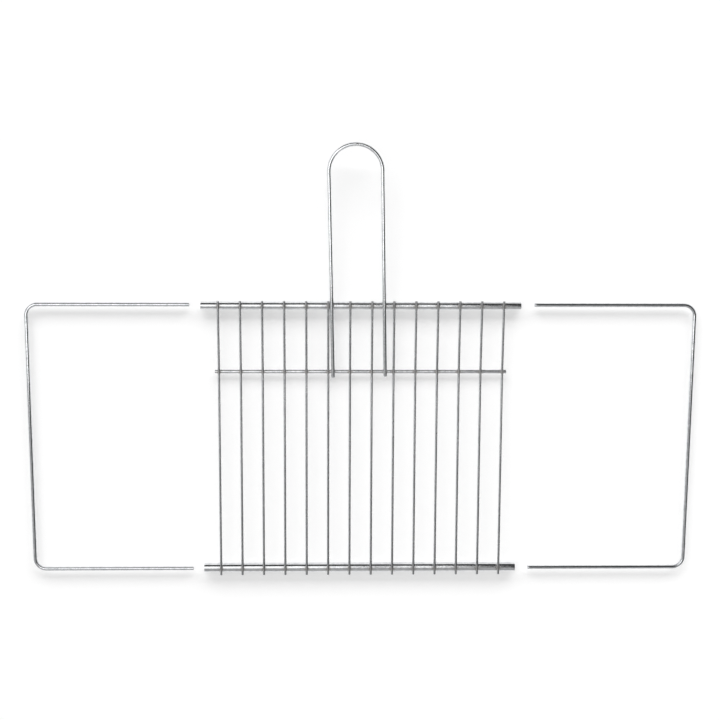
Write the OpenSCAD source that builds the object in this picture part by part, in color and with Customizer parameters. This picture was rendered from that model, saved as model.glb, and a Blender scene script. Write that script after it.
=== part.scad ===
// Extendable barbecue grill grate of bright steel wire and tube.
// Bars lie over two tubes and a brace, a long wire handle lies on the rear tube and the brace,
// and a U-shaped wire arm slides into the tubes from each side.
// +X runs along the tubes to the right, +Y to the handle, +Z up from the surface the grate lies on.
// The origin is in the middle between the tubes, on that surface.

/* [Tubes] */
// Length of both tubes, which is the width of the grate
tube_length = 400; // [370:5:460]
// Distance between the axes of the front and the rear tube
tube_spacing = 340; // [280:5:420]
// Outer diameter of the rear tube, the one at the handle
rear_tube_d = 10; // [9:0.5:12]
// Outer diameter of the front tube
front_tube_d = 12; // [10:0.5:16]
// Wall thickness of both tubes
tube_wall = 1; // [0.6:0.1:1.2]
// Bevel on the rims of the tube ends, outside and inside, where the saw burr is taken off
tube_bevel = 0.3; // [0.1:0.05:0.4]

/* [Brace] */
// Diameter of the brace, the wire that runs across under the bars
brace_d = 5; // [3:0.5:7]
// Distance of the brace from the rear tube, axis to axis
brace_setback = 84; // [50:2:140]
// How far the brace reaches past the axes of the outermost bars
brace_overhang = 5.4; // [3:0.2:15]

/* [Bars] */
// Number of bars
bar_count = 14; // [12:1:15]
// Diameter of the bars
bar_d = 3; // [2:0.25:4]
// Free tube left between each outermost bar and the tube end
bar_margin = 21.9; // [12:0.1:32]
// How far the bars reach past the outside of both tubes
bar_overhang = 1.5; // [0.5:0.25:5]

/* [Handle] */
// Diameter of the handle wire
handle_d = 5; // [4:0.5:7]
// Distance between the handle's two legs, middle to middle
handle_spacing = 65.4; // [58:0.2:70]
// Distance from the rear tube's axis to the middle of the wire at the far end of the loop
handle_reach = 200; // [140:5:260]
// How far the legs reach past the axis of the brace
handle_tail = 6.7; // [4:0.1:15]
// The bar that the handle's left leg lies beside, counted from the left
handle_bar = 6; // [5:1:6]
// Gap between that bar's rear end and the leg
handle_gap = 0.2; // [0.1:0.05:2]
// Lean of the whole handle to the left, in degrees, as it was set before welding
handle_lean = 1.25; // [0:0.05:2]
// Rounding of the tips of the legs
handle_tip_r = 1.8; // [0.5:0.1:1.9]

/* [Side arms] */
// Diameter of the arm wire
arm_d = 5; // [4:0.25:5.5]
// Radius of the arms' bends, at the middle of the wire
arm_bend_r = 14; // [8:1:30]
// Play between a leg and the wall of the bore that it slides in
arm_clearance = 0.3; // [0.15:0.05:0.5]
// How far the legs, sprung outwards, ride up the outer side of the bores
arm_ride = 0.6; // [0.2:0.1:1]
// Room left between the tips of the facing legs when both arms are pushed home
arm_tip_room = 27; // [10:1:60]
// Room left between the bends and the mouths of the tubes when an arm is pushed home
arm_home_room = 2; // [1:0.5:6]
// Distance from the left tube ends to the tips of the left arm, which is drawn out
left_draw = 14; // [5:1:40]
// Distance from the right tube ends to the tips of the right arm, which is drawn out
right_draw = 17; // [5:1:40]

/* [Finish] */
// How deep two wires sink into each other where they are welded
weld_sink = 0.25; // [0.1:0.05:0.4]
// Bevel on the cut ends of the bars, the brace and the arms
cut_bevel = 0.4; // [0.1:0.05:0.6]

/* [Hidden] */
$fn = 64;
// Steps of a rounded tip, and of a bevelled one
ROUND_STEPS = 6;
BEVEL_STEPS = 1;

rear_y = tube_spacing / 2;
front_y = -tube_spacing / 2;
brace_y = rear_y - brace_setback;

bar_pitch = (tube_length - 2 * bar_margin) / (bar_count - 1);
function bar_x(i) = (i - (bar_count + 1) / 2) * bar_pitch;
brace_length = bar_x(bar_count) - bar_x(1) + 2 * brace_overhang;

// A bar climbs from the brace to both tubes, so it has one small bend, over the brace.
rear_climb = atan((rear_tube_d - brace_d) / brace_setback);
front_climb = atan((front_tube_d - brace_d) / (tube_spacing - brace_setback));
bend_z = brace_d + bar_d / 2 - weld_sink;
bar_rear_run = (brace_setback + rear_tube_d / 2 + bar_overhang) / cos(rear_climb);
bar_front_run = (tube_spacing - brace_setback + front_tube_d / 2 + bar_overhang) / cos(front_climb);
// The knuckle that rounds the bend is a hair thicker than the wire, and both runs start inside it.
knuckle_d = 1.02 * bar_d;
knuckle_start = 0.05 * bar_d;

// The handle lies in the plane through the tops of the rear tube and the brace.
handle_climb = rear_climb;
handle_z = rear_tube_d + handle_d / 2 - weld_sink;
leg_from_bar = (bar_d + handle_d) / 2 + handle_gap;
lean_shift = tan(handle_lean) * (rear_tube_d / 2 + bar_overhang);
handle_x = bar_x(handle_bar) + leg_from_bar + lean_shift + handle_spacing / 2;
handle_foot = (brace_setback + handle_tail) / cos(handle_climb);
handle_loop_y = handle_reach - handle_spacing / 2;
handle_straight = handle_foot + handle_loop_y;

// Both bores have their floor at the same height, and the legs ride a little up their outer sides.
function leg_play(tube_d) = (tube_d - 2 * tube_wall - arm_d) / 2 - arm_clearance;
function leg_offset(tube_d) = sqrt(arm_ride * (2 * leg_play(tube_d) - arm_ride));
arm_z = tube_wall + arm_clearance + arm_d / 2 + arm_ride;
rear_leg_y = rear_y + leg_offset(rear_tube_d);
front_leg_y = front_y - leg_offset(front_tube_d);
leg_straight = (tube_length - arm_tip_room) / 2 + arm_home_room;
side_straight = rear_leg_y - front_leg_y - 2 * arm_bend_r;

function bar_name(i) = str("bar_", i < 10 ? "0" : "", i);

// Ring that takes the corner off a wire's end, which is at height 0 with the wire above it:
// a bevel in one step, or a quarter round in several.
module corner_cutter(d, size, steps) {
    rotate_extrude()
        polygon(concat(
            [[d / 2 - size, -size]],
            [for (k = [0 : steps])
                [d / 2 - size + size * sin(90 * k / steps), size - size * cos(90 * k / steps)]],
            [[d / 2 + size, size], [d / 2 + size, -size]]
        ));
}

// Straight run of wire along +Y that ends on the X axis, at the offset from the origin.
// A cut end has its corner taken off.
module wire_run(d, offset, length, size, steps, cut_start, cut_end) {
    difference() {
        rotate([90, 0, 0])
            linear_extrude(height = length)
                translate([offset, 0])
                    circle(d = d);
        if (cut_start)
            translate([offset, -length, 0])
                rotate([-90, 0, 0])
                    corner_cutter(d, size, steps);
        if (cut_end)
            translate([offset, 0, 0])
                rotate([90, 0, 0])
                    corner_cutter(d, size, steps);
    }
}

// Wire bent in the XY plane as on a bending bench. It comes along +Y and turns to the left round
// the origin, and after each straight but the last it turns to the left again by the next angle.
module bent_wire(d, bend_r, straights, bends, size, steps, i = 0) {
    wire_run(d, bend_r, straights[i], size, steps, i == 0, i == len(bends));
    if (i < len(bends)) {
        rotate_extrude(angle = bends[i])
            translate([bend_r, 0])
                circle(d = d);
        rotate([0, 0, bends[i]])
            translate([0, straights[i + 1], 0])
                bent_wire(d, bend_r, straights, bends, size, steps, i + 1);
    }
}

// Outline of a tube or the brace, which the wires over it are seated on. All three lie on the
// surface that the grate stands on.
module cross_outline(d, length, y) {
    translate([-length / 2, y, d / 2])
        rotate([0, 90, 0])
            cylinder(d = d, h = length);
}

module rear_tube_outline() {
    cross_outline(rear_tube_d, tube_length, rear_y);
}

module front_tube_outline() {
    cross_outline(front_tube_d, tube_length, front_y);
}

module brace_outline() {
    cross_outline(brace_d, brace_length, brace_y);
}

// Tube with bevelled rims: the wall's profile turned once round the tube's axis.
module cross_tube(d, y) {
    inner_r = d / 2 - tube_wall;
    outer_r = d / 2;
    translate([-tube_length / 2, y, d / 2])
        rotate([0, 90, 0])
            rotate_extrude()
                polygon([
                    [inner_r + tube_bevel, 0],
                    [outer_r - tube_bevel, 0],
                    [outer_r, tube_bevel],
                    [outer_r, tube_length - tube_bevel],
                    [outer_r - tube_bevel, tube_length],
                    [inner_r + tube_bevel, tube_length],
                    [inner_r, tube_length - tube_bevel],
                    [inner_r, tube_bevel]
                ]);
}

module rear_tube() {
    color("gainsboro")
        cross_tube(rear_tube_d, rear_y);
}

module front_tube() {
    color("gainsboro")
        cross_tube(front_tube_d, front_y);
}

module cross_brace() {
    color("silver")
        translate([brace_length / 2, brace_y, brace_d / 2])
            rotate([0, 0, -90])
                wire_run(brace_d, 0, brace_length, cut_bevel, BEVEL_STEPS, true, true);
}

// Half of a bar, from the bend along +Y to its cut end.
module bar_run(length) {
    translate([0, length, 0])
        wire_run(bar_d, 0, length - knuckle_start, cut_bevel, BEVEL_STEPS, false, true);
}

// One bar with its bend over the brace, saddled on both tubes and on the brace.
module bar(i) {
    color("darkgray")
        difference() {
            translate([bar_x(i), brace_y, bend_z]) {
                sphere(d = knuckle_d);
                rotate([rear_climb, 0, 0])
                    bar_run(bar_rear_run);
                rotate([front_climb, 0, 180])
                    bar_run(bar_front_run);
            }
            rear_tube_outline();
            front_tube_outline();
            brace_outline();
        }
}

// The handle from the tip of its right leg round the loop to the tip of its left leg,
// saddled on the rear tube and on the brace.
module handle() {
    color("silver")
        difference() {
            translate([handle_x, rear_y, handle_z])
                rotate([handle_climb, 0, handle_lean])
                    translate([0, handle_loop_y, 0])
                        bent_wire(
                            handle_d,
                            handle_spacing / 2,
                            [handle_straight, handle_straight],
                            [180],
                            handle_tip_r,
                            ROUND_STEPS
                        );
            rear_tube_outline();
            brace_outline();
        }
}

// A right-hand arm whose leg tips stand off the tube ends by the distance that it is drawn.
module side_arm(draw) {
    translate([tube_length / 2 + draw + leg_straight, front_leg_y + arm_bend_r, arm_z])
        rotate([0, 0, -90])
            bent_wire(
                arm_d,
                arm_bend_r,
                [leg_straight, side_straight, leg_straight],
                [90, 90],
                cut_bevel,
                BEVEL_STEPS
            );
}

module left_arm() {
    color("silver")
        mirror([1, 0, 0])
            side_arm(left_draw);
}

module right_arm() {
    color("silver")
        side_arm(right_draw);
}

rear_tube();
front_tube();
cross_brace();
for (i = [1 : bar_count]) bar(i);
handle();
left_arm();
right_arm();
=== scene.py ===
import bpy
import numpy as np
from mathutils import Euler, Matrix, Vector


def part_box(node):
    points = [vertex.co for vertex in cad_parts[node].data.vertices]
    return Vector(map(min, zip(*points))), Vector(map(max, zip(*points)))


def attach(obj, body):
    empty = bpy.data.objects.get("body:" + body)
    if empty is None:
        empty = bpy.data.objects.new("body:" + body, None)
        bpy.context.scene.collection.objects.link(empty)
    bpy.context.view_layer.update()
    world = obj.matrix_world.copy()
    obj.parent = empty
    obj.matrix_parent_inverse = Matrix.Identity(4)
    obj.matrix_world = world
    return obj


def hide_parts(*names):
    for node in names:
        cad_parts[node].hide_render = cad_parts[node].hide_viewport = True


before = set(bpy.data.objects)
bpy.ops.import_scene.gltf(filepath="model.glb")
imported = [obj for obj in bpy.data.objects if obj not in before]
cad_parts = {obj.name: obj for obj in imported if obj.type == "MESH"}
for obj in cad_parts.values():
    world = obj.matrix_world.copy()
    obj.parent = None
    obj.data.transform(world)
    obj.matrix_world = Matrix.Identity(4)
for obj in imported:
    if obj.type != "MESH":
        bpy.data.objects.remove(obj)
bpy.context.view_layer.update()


# The bars: thin drawn steel wire, cut to length and pressed down on both tubes and on the brace
# while it is welded there, so each bar has one slight bend over the brace. They are plated after
# welding, and come out a little duller than the thicker wires.
BAR_R = 0.0015
WELD_SINK = 0.00025
BAR_BEND_R = 0.012
CUT_ROUND = 0.0004
CORNER_STEPS = 5
BAR_SIDES = 24
WELD_REACH = 0.0032


def span(node):
    """Middle and size of a node's box."""
    low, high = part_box(node)
    return (low + high) / 2, high - low


def stations(length, coarse, spots, spread, fine):
    """Places along a piece: one each coarse step, and one each fine step round every spot."""
    even = np.arange(0, length, coarse)
    near = (np.asarray(spots)[:, None] + np.arange(-spread, spread + fine / 2, fine)).ravel()
    return np.unique(np.round(np.concatenate([even, near]), 7))


def wire_ends(length, radius, corner, places):
    """Places along a wire from end face to end face, and its radius at each. At a distance e from
    an end the radius is R - c + sqrt(c^2 - (c - e)^2) as far as the corner's size c, then R."""
    turn = np.linspace(0, np.pi / 2, CORNER_STEPS + 1)
    back = corner * (1 - np.cos(turn))
    rim = radius - corner + corner * np.sin(turn)
    face = (radius - corner) * np.array([0.35, 0.85])
    inner = places[(places > 1.4 * corner) & (places < length - 1.4 * corner)]
    s = np.concatenate([[0, 0], back, inner, length - back[::-1], [length, length]])
    r = np.concatenate([face, rim, np.full(len(inner), radius), rim[::-1], face[::-1]])
    return s, r


def bent_line(s, heading, straights, bend_r, turns):
    """Points and headings at the places s along straights and bends in a plane. The heading grows
    by the part of each bend that lies behind s, at the rate 1 / bend_r, and a step ds that turns
    by dh goes ds * sin(dh / 2) / (dh / 2) along its mean heading."""
    behind = 0.0
    head = np.full(len(s), float(heading))
    for straight, turn in zip(straights, turns):
        behind += straight
        head += np.clip((s - behind) / bend_r, 0, turn)
        behind += bend_r * turn
    mean = (head[:-1] + head[1:]) / 2
    reach = np.diff(s) * np.sinc(np.diff(head) / 2 / np.pi)
    steps = np.stack([reach * np.cos(mean), reach * np.sin(mean)], 1)
    return np.vstack([[0, 0], np.cumsum(steps, 0)]), head


def closed_skin(name, points, drawn, welds, material, loops_back=False):
    """Closed mesh over rows of points, each row once round the piece. Each row is joined to the
    next, and the last to the first where the rows loop back, or else both ends get a flat cap.
    The mesh keeps where each point lies on the drawn wire, and how near it is to a weld: 1 at the
    weld, falling as exp(-(distance / reach)^2)."""
    rows, sides = points.shape[:2]
    number = np.arange(rows * sides).reshape(rows, sides)
    this = number if loops_back else number[:-1]
    after = np.roll(number, -1, 0) if loops_back else number[1:]
    quads = np.stack([this, np.roll(this, -1, 1), np.roll(after, -1, 1), after], -1)
    faces = quads.reshape(-1, 4).tolist()
    if not loops_back:
        faces += [number[0, ::-1].tolist(), number[-1].tolist()]
    flat = points.reshape(-1, 3)
    mesh = bpy.data.meshes.new(name)
    mesh.from_pydata(flat.tolist(), [], faces)
    mesh.shade_smooth()
    gap = np.linalg.norm(flat[:, None] - np.asarray(welds).reshape(1, -1, 3), axis=2).min(1)
    heat = mesh.attributes.new("weld", "FLOAT", "POINT")
    heat.data.foreach_set("value", np.exp(-(gap / WELD_REACH) ** 2).astype(np.float32))
    lines = mesh.attributes.new("drawn", "FLOAT_VECTOR", "POINT")
    lines.data.foreach_set("vector", drawn.reshape(-1).astype(np.float32))
    mesh.materials.append(material)
    piece = bpy.data.objects.new(name, mesh)
    bpy.context.scene.collection.objects.link(piece)
    return piece


def wire(name, s, radius, line, heading, origin, along, across, sides, welds, material):
    """Round wire: at each place s a circle of the radius there, square to the heading of the line
    that lies in the plane of along and across, from the origin."""
    plane = np.array([along, across], float)
    middle = np.asarray(origin) + line @ plane
    side = np.stack([-np.sin(heading), np.cos(heading)], 1) @ plane
    up = np.cross(along, across)
    turn = np.linspace(0, 2 * np.pi, sides, endpoint=False)
    cos, sin = np.cos(turn)[None, :, None], np.sin(turn)[None, :, None]
    ring = side[:, None] * cos + up * sin
    points = middle[:, None] + radius[:, None, None] * ring
    drawn = np.concatenate([
        radius[:, None, None] * cos,
        radius[:, None, None] * sin,
        np.broadcast_to(s[:, None, None], (len(s), sides, 1)),
    ], axis=2)
    return closed_skin(name, points, drawn, welds, material)


def place(nodes, kind, **inputs):
    """New shader node with the given values in its named inputs."""
    made = nodes.new(kind)
    for socket, value in inputs.items():
        made.inputs[socket.replace("_", " ")].default_value = value
    return made


LINE_WIDTH = 0.0003
LINE_LENGTH = 0.045
MOTTLE = 0.006
GRAIN = 0.0007
# Painted shade: the colour the metal darkens towards round each weld, where two wires meet.
WELD_SHADE_COLOUR = (0.36, 0.33, 0.30, 1)


def plated_steel(name, bright, dull, roughness, line_depth):
    """Bright plating over drawn steel: die lines along the wire, cloudy patches of brighter and
    duller metal, a fine grain in the plating, and round each weld a duller spot with painted shade where the
    wires meet."""
    material = bpy.data.materials.new(name)
    material.use_nodes = True
    nodes, links = material.node_tree.nodes, material.node_tree.links
    shader = nodes["Principled BSDF"]
    shader.inputs["Metallic"].default_value = 1.0

    drawn = nodes.new("ShaderNodeAttribute")
    drawn.attribute_name = "drawn"
    stretch = place(nodes, "ShaderNodeMapping", Scale=(1 / LINE_WIDTH, 1 / LINE_WIDTH, 1 / LINE_LENGTH))
    lines = place(nodes, "ShaderNodeTexNoise", Scale=1.0, Detail=3.0, Roughness=0.55)
    links.new(drawn.outputs["Vector"], stretch.inputs["Vector"])
    links.new(stretch.outputs["Vector"], lines.inputs["Vector"])

    spot = nodes.new("ShaderNodeTexCoord")
    clouds = place(nodes, "ShaderNodeTexNoise", Scale=1 / MOTTLE, Detail=4.0, Roughness=0.6)
    grain = place(nodes, "ShaderNodeTexNoise", Scale=1 / GRAIN, Detail=2.0, Roughness=0.5)
    links.new(spot.outputs["Object"], clouds.inputs["Vector"])
    links.new(spot.outputs["Object"], grain.inputs["Vector"])

    weld = nodes.new("ShaderNodeAttribute")
    weld.attribute_name = "weld"
    patchy = place(nodes, "ShaderNodeMapRange", From_Min=0.30, From_Max=0.62, To_Min=0.45, To_Max=1.0)
    # Painted shade mask: nearness to a weld, times the cloudy patches. The same mask also raises the
    # roughness there.
    weld_shade = nodes.new("ShaderNodeMath")
    weld_shade.operation = "MULTIPLY"
    links.new(clouds.outputs["Fac"], patchy.inputs["Value"])
    links.new(weld.outputs["Fac"], weld_shade.inputs[0])
    links.new(patchy.outputs["Result"], weld_shade.inputs[1])

    spread = place(nodes, "ShaderNodeMapRange", From_Min=0.35, From_Max=0.65)
    metal = nodes.new("ShaderNodeMix")
    metal.data_type = "RGBA"
    metal.inputs["A"].default_value = (*dull, 1)
    metal.inputs["B"].default_value = (*bright, 1)
    # Mixes the painted shade into the metal near each weld.
    seen = nodes.new("ShaderNodeMix")
    seen.data_type = "RGBA"
    seen.inputs["B"].default_value = WELD_SHADE_COLOUR
    links.new(clouds.outputs["Fac"], spread.inputs["Value"])
    links.new(spread.outputs["Result"], metal.inputs["Factor"])
    links.new(weld_shade.outputs[0], seen.inputs["Factor"])
    links.new(metal.outputs["Result"], seen.inputs["A"])
    links.new(seen.outputs["Result"], shader.inputs["Base Color"])

    low, high = roughness
    haze = place(nodes, "ShaderNodeMapRange", From_Min=0.3, From_Max=0.7, To_Min=high, To_Max=low)
    streak = place(nodes, "ShaderNodeMapRange", From_Min=0.3, From_Max=0.7, To_Min=-0.03, To_Max=0.03)
    hazy = nodes.new("ShaderNodeMath")
    hazy.operation = "ADD"
    weld_roughness = nodes.new("ShaderNodeMath")
    weld_roughness.operation = "MULTIPLY_ADD"
    weld_roughness.inputs[1].default_value = 0.22
    links.new(clouds.outputs["Fac"], haze.inputs["Value"])
    links.new(lines.outputs["Fac"], streak.inputs["Value"])
    links.new(haze.outputs["Result"], hazy.inputs[0])
    links.new(streak.outputs["Result"], hazy.inputs[1])
    links.new(weld_shade.outputs[0], weld_roughness.inputs[0])
    links.new(hazy.outputs[0], weld_roughness.inputs[2])
    links.new(weld_roughness.outputs[0], shader.inputs["Roughness"])

    die = place(nodes, "ShaderNodeBump", Strength=0.6, Distance=line_depth)
    skin = place(nodes, "ShaderNodeBump", Strength=0.5, Distance=line_depth / 2)
    links.new(lines.outputs["Fac"], die.inputs["Height"])
    links.new(grain.outputs["Fac"], skin.inputs["Height"])
    links.new(die.outputs["Normal"], skin.inputs["Normal"])
    links.new(skin.outputs["Normal"], shader.inputs["Normal"])
    return material


rear_mid, rear_size = span("rear_tube")
front_mid, front_size = span("front_tube")
brace_mid, brace_size = span("cross_brace")
bar_nodes = sorted(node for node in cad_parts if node.startswith("bar_"))
bar_x = np.array([span(node)[0].x for node in bar_nodes])

rear_rise = np.arctan2(rear_size.z - brace_size.z, rear_mid.y - brace_mid.y)
front_rise = np.arctan2(front_size.z - brace_size.z, brace_mid.y - front_mid.y)
bar_low, bar_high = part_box(bar_nodes[0])
front_run = (brace_mid.y - bar_low.y) / np.cos(front_rise)
rear_run = (bar_high.y - brace_mid.y) / np.cos(rear_rise)
bend = front_rise + rear_rise
bend_cut = BAR_BEND_R * np.tan(bend / 2)
bar_length = front_run + rear_run - 2 * bend_cut + BAR_BEND_R * bend
bend_z = brace_size.z + BAR_R - WELD_SINK


def on_top(x, mid, size):
    """Where a wire at x lies on a tube or on the brace."""
    return [x, mid.y, size.z]


def bar_welds(x):
    return [on_top(x, *span(node)) for node in ("rear_tube", "cross_brace", "front_tube")]


bar_steel = plated_steel("bar_plating", (0.60, 0.61, 0.62), (0.42, 0.43, 0.44), (0.22, 0.36), 0.00002)
front_reach = (brace_mid.y - front_mid.y) / np.cos(front_rise)
rear_reach = (rear_mid.y - brace_mid.y) / np.cos(rear_rise)
bar_spots = [front_run - front_reach, front_run, front_run + rear_reach]
for node, x in zip(bar_nodes, bar_x):
    s, radius = wire_ends(bar_length, BAR_R, CUT_ROUND, stations(bar_length, 0.006, bar_spots, 0.006, 0.0006))
    line, heading = bent_line(s, -front_rise, [front_run - bend_cut], BAR_BEND_R, [bend])
    start = (x, brace_mid.y - front_run * np.cos(front_rise), bend_z + front_run * np.sin(front_rise))
    bar = wire(node + "_wire", s, radius, line, heading, start, (0, 1, 0), (0, 0, 1), BAR_SIDES,
               bar_welds(x), bar_steel)
    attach(bar, "grate")
    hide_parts(node)


# The handle: one length of thicker drawn wire bent round to a long U with rounded tips. Its legs
# lie on the rear tube and on the brace, and are welded there. It was set leaning a little to the
# left, with its left leg against a bar.
HANDLE_R = 0.0025
HANDLE_SPACING = 0.0654
HANDLE_REACH = 0.200
HANDLE_TAIL = 0.0067
HANDLE_BAR = 6
HANDLE_GAP = 0.0002
HANDLE_LEAN = np.radians(1.25)
HANDLE_TIP_ROUND = 0.0018
HANDLE_SIDES = 40

loop_r = HANDLE_SPACING / 2
rear_edge = bar_high.y - rear_mid.y
handle_x = bar_x[HANDLE_BAR - 1] + BAR_R + HANDLE_R + HANDLE_GAP + np.tan(HANDLE_LEAN) * rear_edge + loop_r
handle_z = rear_size.z + HANDLE_R - WELD_SINK
leg = (rear_mid.y - brace_mid.y + HANDLE_TAIL) / np.cos(rear_rise) + HANDLE_REACH - loop_r
handle_length = 2 * leg + np.pi * loop_r
turned = Matrix.Rotation(HANDLE_LEAN, 3, "Z") @ Matrix.Rotation(rear_rise, 3, "X")
handle_across = np.array(turned @ Vector((1, 0, 0)))
handle_along = np.array(turned @ Vector((0, 1, 0)))
handle_on_tube = np.array([handle_x, rear_mid.y, handle_z])
loop_mid = handle_on_tube + handle_along * (HANDLE_REACH - loop_r)


def leg_weld(side, mid, size):
    """Where the leg on one side of the handle lies on a tube or on the brace."""
    foot = handle_on_tube + side * loop_r * handle_across
    foot = foot + handle_along * (mid.y - foot[1]) / handle_along[1]
    return on_top(foot[0], mid, size)


handle_rear_welds = [leg_weld(side, rear_mid, rear_size) for side in (-1, 1)]
handle_brace_welds = [leg_weld(side, brace_mid, brace_size) for side in (-1, 1)]
handle_steel = plated_steel("handle_plating", (0.90, 0.91, 0.92), (0.74, 0.76, 0.78), (0.07, 0.15), 0.000012)
handle_spots = [leg + np.pi * loop_r / 2]
places = stations(handle_length, 0.005, handle_spots, np.pi * loop_r / 2, np.pi * loop_r / 96)
s, radius = wire_ends(handle_length, HANDLE_R, HANDLE_TIP_ROUND, places)
line, heading = bent_line(s, 0, [leg], loop_r, [np.pi])
start = loop_mid + loop_r * handle_across - leg * handle_along
handle = wire("handle_wire", s, radius, line, heading, start, handle_along, -handle_across, HANDLE_SIDES,
              handle_rear_welds + handle_brace_welds, handle_steel)
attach(handle, "grate")
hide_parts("handle")


# The brace: a straight length of the same thicker wire, across under all the bars, to which each
# bar and both legs of the handle are welded.
BRACE_SIDES = 40

brace_r = brace_size.z / 2
brace_welds = [on_top(x, brace_mid, brace_size) for x in bar_x] + handle_brace_welds
brace_steel = plated_steel("brace_plating", (0.84, 0.85, 0.86), (0.66, 0.67, 0.69), (0.12, 0.22), 0.000015)
brace_spots = [weld[0] - brace_mid.x + brace_size.x / 2 for weld in brace_welds]
places = stations(brace_size.x, 0.005, brace_spots, 0.005, 0.0008)
s, radius = wire_ends(brace_size.x, brace_r, CUT_ROUND, places)
line, heading = bent_line(s, 0, [], 1, [])
start = brace_mid - Vector((brace_size.x / 2, 0, 0))
brace = wire("cross_brace_wire", s, radius, line, heading, start, (1, 0, 0), (0, 1, 0), BRACE_SIDES,
             brace_welds, brace_steel)
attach(brace, "grate")
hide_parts("cross_brace")


# The two tubes: drawn steel tube with a thin wall, sawn to length, with its rims rounded off inside
# and out. The bars and the handle are welded on top, and the arms slide in the open ends.
TUBE_WALL = 0.001
RIM_ROUND = 0.0003
TUBE_SIDES = 56


def tube(name, mid, size, welds, material):
    """Tube along X: the outline of its wall turned once round the axis. The outline runs out
    along the outside, round the rim's two quarter circles, back along the bore, and round the
    other rim."""
    outer, half = size.z / 2, size.x / 2
    inner = outer - TUBE_WALL
    spots = [weld[0] - mid.x + half for weld in welds]
    outside = stations(size.x, 0.005, spots, 0.005, 0.0008) - half
    outside = outside[np.abs(outside) < half - 1.4 * RIM_ROUND]
    bore = np.arange(-half + 0.002, half - 0.001, 0.004)
    turn = np.linspace(np.pi / 2, -np.pi / 2, 2 * CORNER_STEPS + 2)
    corner = np.where(turn > 0, outer - RIM_ROUND, inner + RIM_ROUND)
    rim_x = half - RIM_ROUND + RIM_ROUND * np.cos(turn)
    rim_r = corner + RIM_ROUND * np.sin(turn)
    x = np.concatenate([outside, rim_x, bore[::-1], -rim_x[::-1]])
    r = np.concatenate([np.full(len(outside), outer), rim_r, np.full(len(bore), inner), rim_r[::-1]])
    round_axis = np.linspace(0, 2 * np.pi, TUBE_SIDES, endpoint=False)
    across = r[:, None] * np.cos(round_axis)
    up = r[:, None] * np.sin(round_axis)
    along = np.broadcast_to(x[:, None], across.shape)
    points = np.stack([mid.x + along, mid.y + across, mid.z + up], -1)
    return closed_skin(name, points, np.stack([across, up, along], -1), welds, material, loops_back=True)


tube_steel = plated_steel("tube_plating", (0.86, 0.87, 0.88), (0.70, 0.71, 0.73), (0.10, 0.19), 0.000015)
rear_welds = [on_top(x, rear_mid, rear_size) for x in bar_x] + handle_rear_welds
front_welds = [on_top(x, front_mid, front_size) for x in bar_x]
for node, mid, size, welds in (
    ("rear_tube", rear_mid, rear_size, rear_welds),
    ("front_tube", front_mid, front_size, front_welds),
):
    piece = tube(node + "_pipe", mid, size, welds, tube_steel)
    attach(piece, "grate")
    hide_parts(node)


# The welds: where two wires are pressed together red hot, metal squeezes out and sets as a small
# skirt round the contact. All the skirts on one tube, or on the brace, are one piece.
BEAD_HEIGHT = 0.00032
BEAD_TOE = 0.22
BEAD_SIDES = 28
BEAD_ROWS = 9


def weld_beads(name, welds, lower_r, upper_r, seed, material):
    """Skirts round the contacts of a wire along Y with a round piece along X under it. At an angle
    a round the contact the skirt reaches out to where the gap between the two is its height h:
    sqrt(2 h / (cos^2 a / r + sin^2 a / R)). From the lower piece to the wire it draws in and
    flares out again, as a drop does between two rods."""
    rng = np.random.default_rng(seed)
    fill = BEAD_HEIGHT + WELD_SINK
    turn = np.linspace(0, 2 * np.pi, BEAD_SIDES, endpoint=False)
    out = np.sqrt(2 * fill / (np.cos(turn) ** 2 / upper_r + np.sin(turn) ** 2 / lower_r))
    rise = np.linspace(0, 1, BEAD_ROWS)
    flare = 0.90 + BEAD_TOE * (1 - rise) ** 2 + 0.08 * rise ** 2
    count = len(welds)
    lumps = sum(
        rng.uniform(0.02, 0.05, (count, 1)) * np.sin(k * turn + rng.uniform(0, 2 * np.pi, (count, 1)))
        for k in (2, 3, 5)
    )
    reach = (1 + lumps)[:, None, :] * out * flare[:, None]
    x, y = reach * np.cos(turn), reach * np.sin(turn)
    lower = np.sqrt(np.maximum(lower_r ** 2 - y ** 2, 0)) - lower_r
    upper = upper_r - WELD_SINK - np.sqrt(np.maximum(upper_r ** 2 - x ** 2, (0.35 * upper_r) ** 2))
    z = lower - 0.00004 + (upper - lower + 0.00008) * rise[:, None]
    sunk = np.stack([x[:, :1] * 0.3, y[:, :1] * 0.3, np.full_like(z[:, :1], -0.0005)], -1)
    hidden = np.stack([x[:, -1:] * 0.3, y[:, -1:] * 0.3, np.full_like(z[:, :1], upper_r / 2)], -1)
    rows = np.concatenate([sunk, np.stack([x, y, z], -1), hidden], 1) + np.asarray(welds)[:, None, None]
    beads, length, sides = rows.shape[:3]
    number = np.arange(beads * length * sides).reshape(beads, length, sides)
    this, after = number[:, :-1], number[:, 1:]
    quads = np.stack([this, np.roll(this, -1, 2), np.roll(after, -1, 2), after], -1)
    faces = quads.reshape(-1, 4).tolist() + number[:, 0, ::-1].tolist() + number[:, -1].tolist()
    mesh = bpy.data.meshes.new(name)
    mesh.from_pydata(rows.reshape(-1, 3).tolist(), [], faces)
    mesh.shade_smooth()
    mesh.materials.append(material)
    beads = bpy.data.objects.new(name, mesh)
    bpy.context.scene.collection.objects.link(beads)
    return beads


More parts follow.
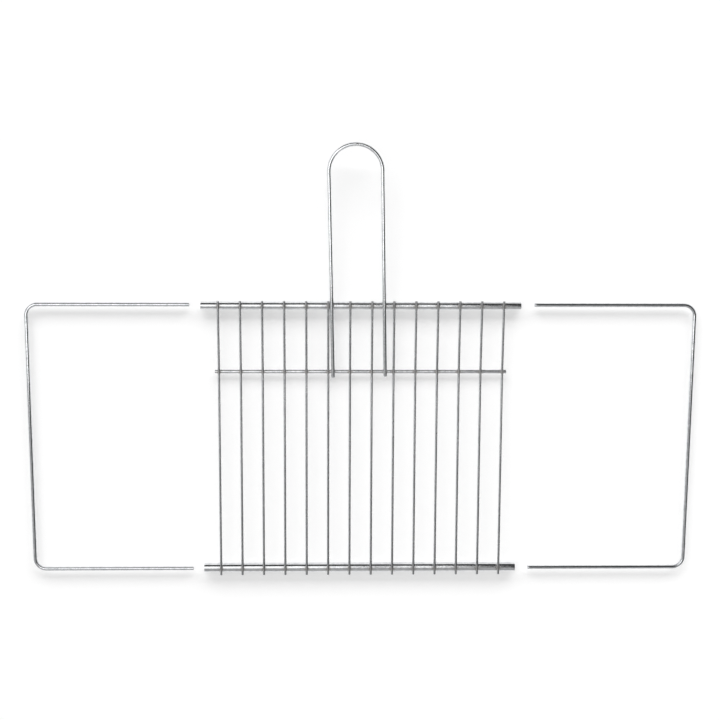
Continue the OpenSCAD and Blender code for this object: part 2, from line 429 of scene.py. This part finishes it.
def weld_metal():
    """Set weld metal under the plating: lumpy, dull, with brighter tops."""
    material = bpy.data.materials.new("weld_metal")
    material.use_nodes = True
    nodes, links = material.node_tree.nodes, material.node_tree.links
    shader = nodes["Principled BSDF"]
    shader.inputs["Metallic"].default_value = 1.0
    spot = nodes.new("ShaderNodeTexCoord")
    lumps = place(nodes, "ShaderNodeTexNoise", Scale=1 / 0.0009, Detail=4.0, Roughness=0.65)
    tone = nodes.new("ShaderNodeMix")
    tone.data_type = "RGBA"
    tone.inputs["A"].default_value = (0.26, 0.25, 0.24, 1)
    tone.inputs["B"].default_value = (0.58, 0.58, 0.58, 1)
    rough = place(nodes, "ShaderNodeMapRange", From_Min=0.3, From_Max=0.7, To_Min=0.48, To_Max=0.28)
    bump = place(nodes, "ShaderNodeBump", Strength=0.7, Distance=0.00008)
    links.new(spot.outputs["Object"], lumps.inputs["Vector"])
    links.new(lumps.outputs["Fac"], tone.inputs["Factor"])
    links.new(lumps.outputs["Fac"], rough.inputs["Value"])
    links.new(lumps.outputs["Fac"], bump.inputs["Height"])
    links.new(tone.outputs["Result"], shader.inputs["Base Color"])
    links.new(rough.outputs["Result"], shader.inputs["Roughness"])
    links.new(bump.outputs["Normal"], shader.inputs["Normal"])
    return material


bead_metal = weld_metal()
bar_count = len(bar_nodes)
for name, welds, lower_r, upper_r, seed in (
    ("rear_tube_bar_welds", rear_welds[:bar_count], rear_size.z / 2, BAR_R, 1),
    ("front_tube_bar_welds", front_welds, front_size.z / 2, BAR_R, 2),
    ("brace_bar_welds", brace_welds[:bar_count], brace_r, BAR_R, 3),
    ("rear_tube_handle_welds", handle_rear_welds, rear_size.z / 2, HANDLE_R, 4),
    ("brace_handle_welds", handle_brace_welds, brace_r, HANDLE_R, 5),
):
    beads = weld_beads(name, welds, lower_r, upper_r, seed, bead_metal)
    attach(beads, "grate")


# The two side arms: one length of wire each, bent to a wide U. The legs slide in the ends of both
# tubes, and here both arms are drawn right out.
ARM_R = 0.0025
ARM_BEND_R = 0.014
ARM_SIDES = 40

arm_steel = plated_steel("arm_plating", (0.84, 0.85, 0.87), (0.66, 0.68, 0.70), (0.08, 0.17), 0.000015)
for node, body, side in (("left_arm", "left_arm", -1), ("right_arm", "right_arm", 1)):
    mid, size = span(node)
    leg = size.x - ARM_R - ARM_BEND_R
    back = size.y - 2 * ARM_R - 2 * ARM_BEND_R
    quarter = ARM_BEND_R * np.pi / 2
    arm_length = 2 * leg + back + 2 * quarter
    bends = [leg + quarter / 2, leg + quarter * 1.5 + back]
    places = stations(arm_length, 0.005, bends, quarter / 2, quarter / 28)
    s, radius = wire_ends(arm_length, ARM_R, CUT_ROUND, places)
    line, heading = bent_line(s, 0, [leg, back], ARM_BEND_R, [np.pi / 2, np.pi / 2])
    start = (mid.x - side * size.x / 2, mid.y - side * (size.y / 2 - ARM_R), mid.z)
    arm = wire(node + "_wire", s, radius, line, heading, start, (side, 0, 0), (0, side, 0), ARM_SIDES,
               [(0, 0, 1)], arm_steel)
    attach(arm, body)
    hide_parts(node)


# The studio: a plain white floor, two soft boxes overhead with a gap between them, which the metal
# shows as its highlights, and a wide soft light behind the handle, which gives the shadows.
FLOOR_DROP = 0.004
FLOOR_HALF = 8.0
FLOOR_WHITE = 0.60
FLOOR_GLOW = 0.41
# The lamps stand to the left and behind, so the floor's own level makes up for their fall-off.
GLOW_RIGHT = 0.045
GLOW_FRONT = 0.08
EVEN_HALF_X = 0.5
EVEN_HALF_Y = 0.4


def softbox(name, centre, aim, width, depth, radiance, in_gloss):
    """Rectangular lamp whose face has the given radiance."""
    lamp = bpy.data.lights.new(name, "AREA")
    lamp.shape = "RECTANGLE"
    lamp.size, lamp.size_y = width, depth
    lamp.energy = radiance * np.pi * width * depth
    holder = bpy.data.objects.new(name, lamp)
    holder.location = centre
    holder.rotation_euler = (Vector(aim) - Vector(centre)).to_track_quat("-Z", "Y").to_euler()
    holder.visible_camera = False
    holder.visible_glossy = in_gloss
    bpy.context.scene.collection.objects.link(holder)


floor_mesh = bpy.data.meshes.new("floor")
corners = [(side * FLOOR_HALF, end * FLOOR_HALF, -FLOOR_DROP)
           for side, end in ((-1, -1), (1, -1), (1, 1), (-1, 1))]
floor_mesh.from_pydata(corners, [], [(0, 1, 2, 3)])
floor = bpy.data.objects.new("floor", floor_mesh)
bpy.context.scene.collection.objects.link(floor)
floor_paint = bpy.data.materials.new("white_floor")
floor_paint.use_nodes = True
nodes, links = floor_paint.node_tree.nodes, floor_paint.node_tree.links
nodes.remove(nodes["Principled BSDF"])
matt = place(nodes, "ShaderNodeBsdfDiffuse", Color=(FLOOR_WHITE, FLOOR_WHITE, FLOOR_WHITE, 1))
glow = place(nodes, "ShaderNodeEmission", Color=(1, 1, 1, 1))
both = nodes.new("ShaderNodeAddShader")
rays = nodes.new("ShaderNodeLightPath")
seen = nodes.new("ShaderNodeMath")
seen.operation = "MAXIMUM"
mirrored = nodes.new("ShaderNodeMath")
mirrored.operation = "MAXIMUM"
spot = nodes.new("ShaderNodeTexCoord")
place_on_floor = nodes.new("ShaderNodeSeparateXYZ")
to_right = place(nodes, "ShaderNodeMapRange", From_Min=-EVEN_HALF_X, From_Max=EVEN_HALF_X,
                 To_Min=FLOOR_GLOW - GLOW_RIGHT, To_Max=FLOOR_GLOW + GLOW_RIGHT)
to_front = place(nodes, "ShaderNodeMapRange", From_Min=-EVEN_HALF_Y, From_Max=EVEN_HALF_Y,
                 To_Min=GLOW_FRONT, To_Max=-GLOW_FRONT)
evened = nodes.new("ShaderNodeMath")
evened.operation = "ADD"
level = nodes.new("ShaderNodeMath")
level.operation = "MULTIPLY"
links.new(spot.outputs["Object"], place_on_floor.inputs[0])
links.new(place_on_floor.outputs["X"], to_right.inputs["Value"])
links.new(place_on_floor.outputs["Y"], to_front.inputs["Value"])
links.new(to_right.outputs["Result"], evened.inputs[0])
links.new(to_front.outputs["Result"], evened.inputs[1])
links.new(evened.outputs[0], level.inputs[1])
links.new(rays.outputs["Is Camera Ray"], seen.inputs[0])
links.new(rays.outputs["Is Glossy Ray"], seen.inputs[1])
links.new(seen.outputs[0], mirrored.inputs[0])
links.new(rays.outputs["Is Transmission Ray"], mirrored.inputs[1])
links.new(mirrored.outputs[0], level.inputs[0])
links.new(level.outputs[0], glow.inputs["Strength"])
links.new(matt.outputs[0], both.inputs[0])
links.new(glow.outputs[0], both.inputs[1])
links.new(both.outputs[0], nodes["Material Output"].inputs["Surface"])
floor_mesh.materials.append(floor_paint)

BOX_Z = 1.75
BOX_RADIANCE = 1.3
BOX_FRONT, BOX_BACK = -0.277, 1.40
LEFT_BOX = (-1.75, 0.037)
RIGHT_BOX = (0.135, 0.31)
BACK_LIGHT_AT = (0, 4.90, 2.83)
BACK_LIGHT_WIDTH, BACK_LIGHT_HEIGHT = 8.6, 2.4
BACK_LIGHT_RADIANCE = 7.4

box_depth, box_y = BOX_BACK - BOX_FRONT, (BOX_BACK + BOX_FRONT) / 2
for name, (left, right) in (("left_softbox", LEFT_BOX), ("right_softbox", RIGHT_BOX)):
    centre = ((left + right) / 2, box_y, BOX_Z)
    softbox(name, centre, (centre[0], box_y + 1e-4, 0), right - left, box_depth, BOX_RADIANCE, True)
softbox("back_light", BACK_LIGHT_AT, (0, 0, 0), BACK_LIGHT_WIDTH, BACK_LIGHT_HEIGHT,
        BACK_LIGHT_RADIANCE, False)


# The room: mid grey to the left and front, dark to the right and behind, paler at the horizon.
ROOM_GREY = 0.42
ROOM_DARK = 0.06
HORIZON = 0.6
DARK_FROM = -0.15
DARK_FULL = 0.20

world = bpy.data.worlds.new("room")
bpy.context.scene.world = world
world.use_nodes = True
nodes, links = world.node_tree.nodes, world.node_tree.links
sky = nodes["Background"]
way = nodes.new("ShaderNodeTexCoord")
parts = nodes.new("ShaderNodeSeparateXYZ")
dark_side = nodes.new("ShaderNodeMath")
dark_side.operation = "ADD"
wall = place(nodes, "ShaderNodeMapRange", From_Min=DARK_FROM, From_Max=DARK_FULL,
             To_Min=ROOM_GREY, To_Max=ROOM_DARK)
wall.interpolation_type = "SMOOTHSTEP"
low = place(nodes, "ShaderNodeMapRange", From_Min=0.02, From_Max=0.16, To_Min=1.0, To_Max=0.0)
low.interpolation_type = "SMOOTHSTEP"
tone = nodes.new("ShaderNodeMix")
tone.data_type = "RGBA"
tone.inputs["B"].default_value = (HORIZON, HORIZON, HORIZON, 1)
links.new(way.outputs["Generated"], parts.inputs[0])
links.new(parts.outputs["X"], dark_side.inputs[0])
links.new(parts.outputs["Y"], dark_side.inputs[1])
links.new(dark_side.outputs[0], wall.inputs["Value"])
links.new(parts.outputs["Z"], low.inputs["Value"])
links.new(low.outputs["Result"], tone.inputs["Factor"])
links.new(wall.outputs["Result"], tone.inputs["A"])
links.new(tone.outputs["Result"], sky.inputs["Color"])


# The camera: almost straight above, a little behind the rear tube, as the photograph was taken.
CAMERA_LENS = 67.70
CAMERA_AT = (-0.04434, 0.39749, 1.68027)
CAMERA_TILT = np.radians((-10.03, -1.453, 0.023))

camera = bpy.data.objects.new("camera", bpy.data.cameras.new("camera"))
camera.data.lens = CAMERA_LENS
camera.data.sensor_width = 36
camera.data.clip_start, camera.data.clip_end = 0.05, 50
camera.matrix_world = Matrix.Translation(CAMERA_AT) @ Euler(CAMERA_TILT, "ZYX").to_matrix().to_4x4()
bpy.context.scene.collection.objects.link(camera)
bpy.context.scene.camera = camera
bpy.context.scene.view_settings.view_transform = "Standard"
